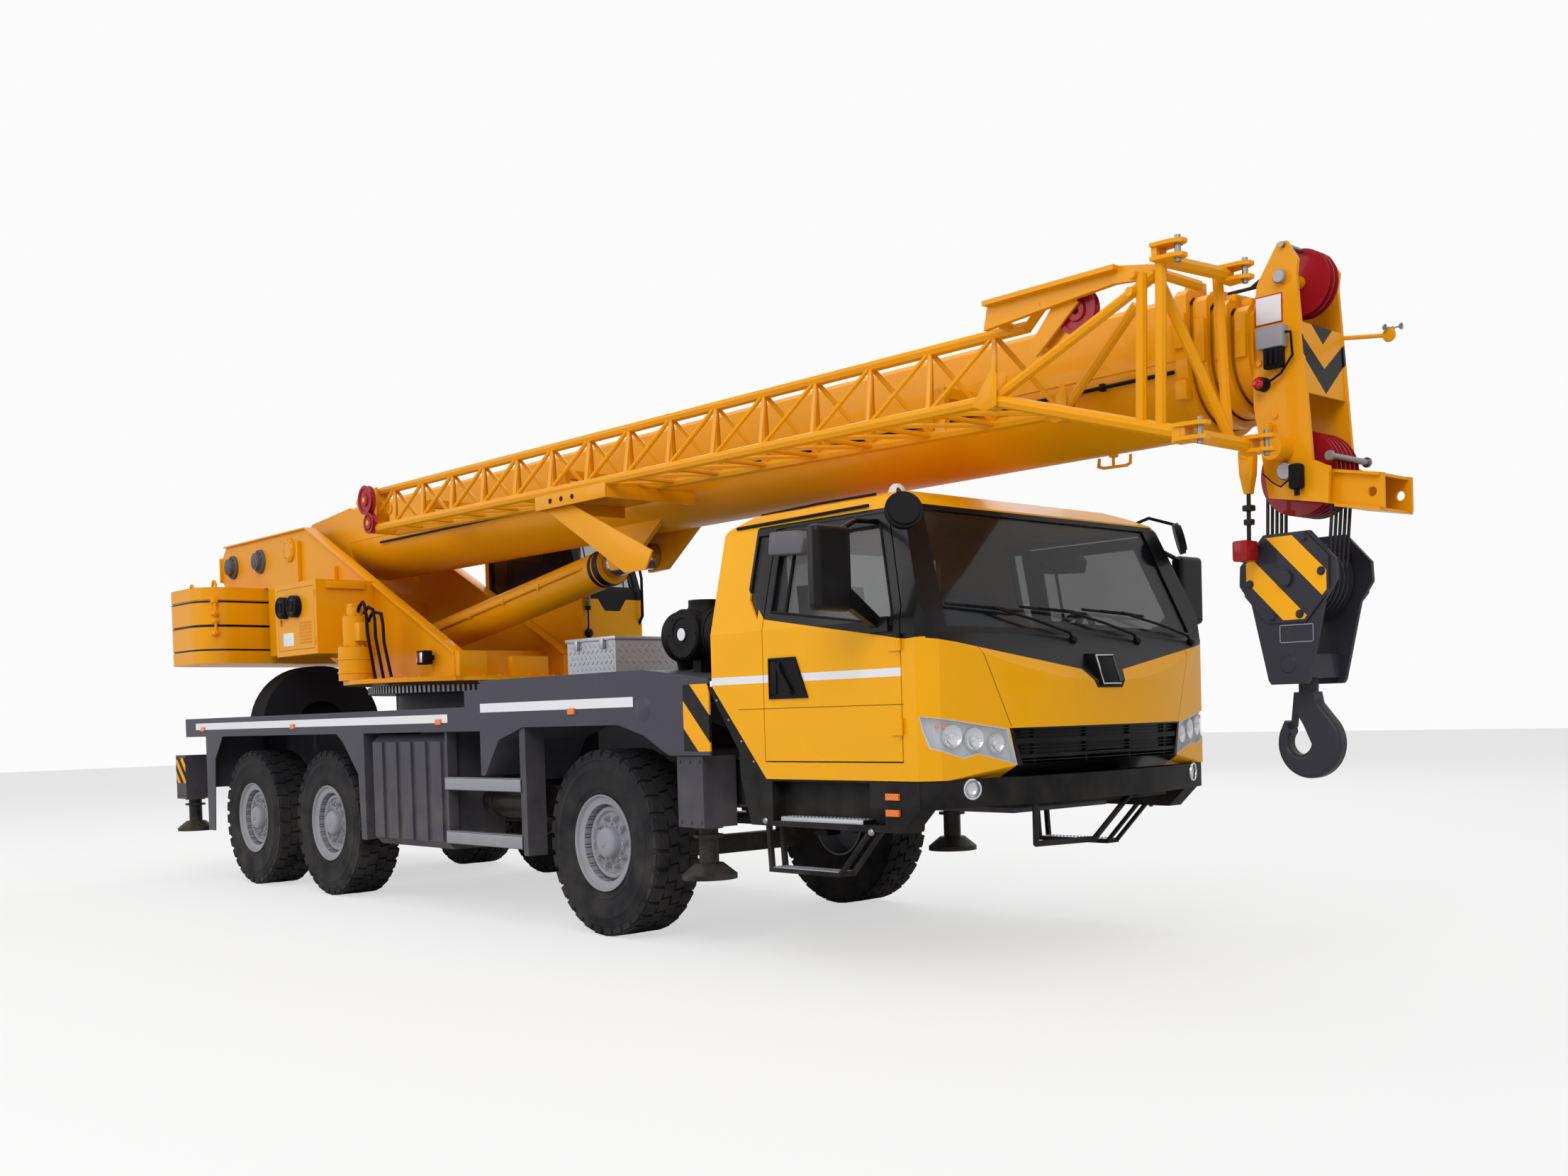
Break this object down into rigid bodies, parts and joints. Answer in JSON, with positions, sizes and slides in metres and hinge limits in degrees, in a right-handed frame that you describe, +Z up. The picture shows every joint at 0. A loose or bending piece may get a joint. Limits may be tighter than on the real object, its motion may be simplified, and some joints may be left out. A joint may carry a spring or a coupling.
{
  "type": "mobile crane",
  "caption": "Mobile crane on truck wheels with a telescopic boom, stowed lattice jib, hook block, slewing upper works with operator cab, driver cab and outriggers.",
  "frame": {"origin": "on the ground in the middle plane, half way between the tips of the rear lugs and the nose bracket of the boom head", "axes": "+X to the front, +Y to the left, +Z up"},
  "size_m": [13.29, 3.5, 3.74],
  "materials": {
    "boom_yellow": "warm yellow gloss paint",
    "boom_orange": "orange yellow gloss paint",
    "chassis_grey": "slate grey satin paint",
    "black_paint": "black satin paint",
    "crimson": "crimson cast nylon",
    "tyre": "worn matt rubber",
    "rim_silver": "silver paint",
    "glass": "tinted glass",
    "black_plastic": "grained black plastic",
    "seat_cloth": "dark woven cloth",
    "amber": "amber lens",
    "cast_grey": "grey painted casting",
    "steel": "ground steel",
    "chrome_rod": "hard chrome",
    "tread_plate": "tread plate"
  },
  "bodies": {
    "chassis": {"chassis_frame": "chassis_grey", "rear_deck": "chassis_grey", "front_deck": "chassis_grey", "side_tanks": "chassis_grey", "axles": "black_paint", "cab_shell": "boom_yellow", "cab_glass": "glass", "front_bumper": "chassis_grey", "lamps": "amber", "mirrors": "black_plastic", "cab_interior": "seat_cloth", "engine": "cast_grey", "air_cleaner": "black_plastic", "tool_box": "tread_plate", "spare_wheel": "tyre"},
    "superstructure": {"turntable": "boom_yellow", "counterweight": "boom_yellow", "winches": "cast_grey", "side_box": "boom_yellow", "op_cab_shell": "boom_yellow", "op_cab_glass": "glass", "op_seat": "seat_cloth"},
    "operator_door": {"op_cab_door": "boom_yellow"},
    "boom": {"boom_base": "boom_orange", "lattice_jib": "boom_orange"},
    "boom_second": {"boom_section_2": "boom_orange"},
    "boom_third": {"boom_section_3": "boom_orange"},
    "boom_fourth": {"boom_section_4": "boom_orange", "boom_head": "boom_orange", "head_sheaves": "crimson"},
    "hook_block": {"hook_block": "black_paint"},
    "hook": {"hook": "black_paint"},
    "luff_barrel": {"luff_barrel": "boom_yellow"},
    "luff_rod": {"luff_rod": "chrome_rod"},
    "steering_left": {"knuckle_left": "black_paint"},
    "door_left": {"cab_door_left": "boom_yellow", "door_glass_left": "glass"},
    "wheel_front_left": {"tyre_front_left": "tyre", "rim_front_left": "rim_silver"},
    "wheel_mid_left": {"tyre_mid_left": "tyre", "rim_mid_left": "rim_silver"},
    "wheel_rear_left": {"tyre_rear_left": "tyre", "rim_rear_left": "rim_silver"},
    "outrigger_beam_front_left": {"outrigger_beam_front_left": "chassis_grey"},
    "outrigger_leg_front_left": {"outrigger_leg_front_left": "cast_grey"},
    "outrigger_beam_rear_left": {"outrigger_beam_rear_left": "chassis_grey"},
    "outrigger_leg_rear_left": {"outrigger_leg_rear_left": "cast_grey"},
    "steering_right": {"knuckle_right": "black_paint"},
    "door_right": {"cab_door_right": "boom_yellow", "door_glass_right": "glass"},
    "wheel_front_right": {"tyre_front_right": "tyre", "rim_front_right": "rim_silver"},
    "wheel_mid_right": {"tyre_mid_right": "tyre", "rim_mid_right": "rim_silver"},
    "wheel_rear_right": {"tyre_rear_right": "tyre", "rim_rear_right": "rim_silver"},
    "outrigger_beam_front_right": {"outrigger_beam_front_right": "chassis_grey"},
    "outrigger_leg_front_right": {"outrigger_leg_front_right": "cast_grey"},
    "outrigger_beam_rear_right": {"outrigger_beam_rear_right": "chassis_grey"},
    "outrigger_leg_rear_right": {"outrigger_leg_rear_right": "cast_grey"}
  },
  "joints": [
    {"name": "slew", "type": "hinge", "parent": "chassis", "child": "superstructure", "pos_m": [-2.355, 0, 1.8], "axis": [0, 0, 1], "continuous": true},
    {"name": "boom_luff", "type": "hinge", "parent": "superstructure", "child": "boom", "pos_m": [-4.795, 0, 3.23], "axis": [0, -1, 0], "range_deg": [0, 78]},
    {"name": "telescope_2", "type": "slide", "parent": "boom", "child": "boom_second", "axis": [1, 0, 0], "range_m": [0, 7.6]},
    {"name": "telescope_3", "type": "slide", "parent": "boom_second", "child": "boom_third", "axis": [1, 0, 0], "range_m": [0, 7.6]},
    {"name": "telescope_4", "type": "slide", "parent": "boom_third", "child": "boom_fourth", "axis": [1, 0, 0], "range_m": [0, 7.6]},
    {"name": "hook_hang", "type": "hinge", "parent": "boom_fourth", "child": "hook_block", "pos_m": [6.165, 0, 2.6], "axis": [0, 1, 0], "range_deg": [0, 78]},
    {"name": "hook_swivel", "type": "hinge", "parent": "hook_block", "child": "hook", "pos_m": [6.135, 0, 1.54], "axis": [0, 0, 1], "continuous": true},
    {"name": "luff_cylinder", "type": "hinge", "parent": "superstructure", "child": "luff_barrel", "pos_m": [-3.205, 0, 2.21], "axis": [0, -1, 0], "range_deg": [0, 81.98]},
    {"name": "luff_rod_slide", "type": "slide", "parent": "luff_barrel", "child": "luff_rod", "axis": [0.9889, 0, 0.1483], "range_m": [0, 2.3574]},
    {"name": "door_right_hinge", "type": "hinge", "parent": "chassis", "child": "door_right", "pos_m": [4.479, -1.3043, 1.5], "axis": [0, 0, 1], "range_deg": [0, 68]},
    {"name": "door_left_hinge", "type": "hinge", "parent": "chassis", "child": "door_left", "pos_m": [4.479, 1.3043, 1.5], "axis": [0, 0, -1], "range_deg": [0, 68]},
    {"name": "operator_door_slide", "type": "slide", "parent": "superstructure", "child": "operator_door", "axis": [-1, 0, 0], "range_m": [0, 0.5]},
    {"name": "steer_left", "type": "hinge", "parent": "chassis", "child": "steering_left", "pos_m": [1.545, 0.79, 0.63], "axis": [0, 0, 1], "range_deg": [-30, 30]},
    {"name": "steer_right", "type": "hinge", "parent": "chassis", "child": "steering_right", "pos_m": [1.545, -0.79, 0.63], "axis": [0, 0, 1], "range_deg": [-30, 30]},
    {"name": "wheel_front_left_spin", "type": "hinge", "parent": "steering_left", "child": "wheel_front_left", "pos_m": [1.545, 1.0575, 0.63], "axis": [0, 1, 0], "continuous": true},
    {"name": "wheel_front_right_spin", "type": "hinge", "parent": "steering_right", "child": "wheel_front_right", "pos_m": [1.545, -1.0575, 0.63], "axis": [0, 1, 0], "continuous": true},
    {"name": "wheel_mid_left_spin", "type": "hinge", "parent": "chassis", "child": "wheel_mid_left", "pos_m": [-2.645, 1.0575, 0.63], "axis": [0, 1, 0], "continuous": true},
    {"name": "wheel_mid_right_spin", "type": "hinge", "parent": "chassis", "child": "wheel_mid_right", "pos_m": [-2.645, -1.0575, 0.63], "axis": [0, 1, 0], "continuous": true},
    {"name": "wheel_rear_left_spin", "type": "hinge", "parent": "chassis", "child": "wheel_rear_left", "pos_m": [-4.258, 1.0575, 0.63], "axis": [0, 1, 0], "continuous": true},
    {"name": "wheel_rear_right_spin", "type": "hinge", "parent": "chassis", "child": "wheel_rear_right", "pos_m": [-4.258, -1.0575, 0.63], "axis": [0, 1, 0], "continuous": true},
    {"name": "outrigger_front_left_out", "type": "slide", "parent": "chassis", "child": "outrigger_beam_front_left", "axis": [0, 1, 0], "range_m": [0, 1.65]},
    {"name": "outrigger_front_left_down", "type": "slide", "parent": "outrigger_beam_front_left", "child": "outrigger_leg_front_left", "axis": [0, 0, -1], "range_m": [0, 0.56]},
    {"name": "outrigger_front_right_out", "type": "slide", "parent": "chassis", "child": "outrigger_beam_front_right", "axis": [0, -1, 0], "range_m": [0, 1.65]},
    {"name": "outrigger_front_right_down", "type": "slide", "parent": "outrigger_beam_front_right", "child": "outrigger_leg_front_right", "axis": [0, 0, -1], "range_m": [0, 0.56]},
    {"name": "outrigger_rear_left_out", "type": "slide", "parent": "chassis", "child": "outrigger_beam_rear_left", "axis": [0, 1, 0], "range_m": [0, 1.65]},
    {"name": "outrigger_rear_left_down", "type": "slide", "parent": "outrigger_beam_rear_left", "child": "outrigger_leg_rear_left", "axis": [0, 0, -1], "range_m": [0, 0.56]},
    {"name": "outrigger_rear_right_out", "type": "slide", "parent": "chassis", "child": "outrigger_beam_rear_right", "axis": [0, -1, 0], "range_m": [0, 1.65]},
    {"name": "outrigger_rear_right_down", "type": "slide", "parent": "outrigger_beam_rear_right", "child": "outrigger_leg_rear_right", "axis": [0, 0, -1], "range_m": [0, 0.56]}
  ],
  "couplings": [
    {"joint": "telescope_3", "follows": "telescope_2", "ratio": 1},
    {"joint": "telescope_4", "follows": "telescope_2", "ratio": 1},
    {"joint": "hook_hang", "follows": "boom_luff", "ratio": 1},
    {"joint": "luff_cylinder", "follows": "boom_luff", "ratio": 1.0504},
    {"joint": "luff_rod_slide", "follows": "boom_luff", "m_per_rad": 1.7313},
    {"joint": "steer_right", "follows": "steer_left", "ratio": 1}
  ]
}
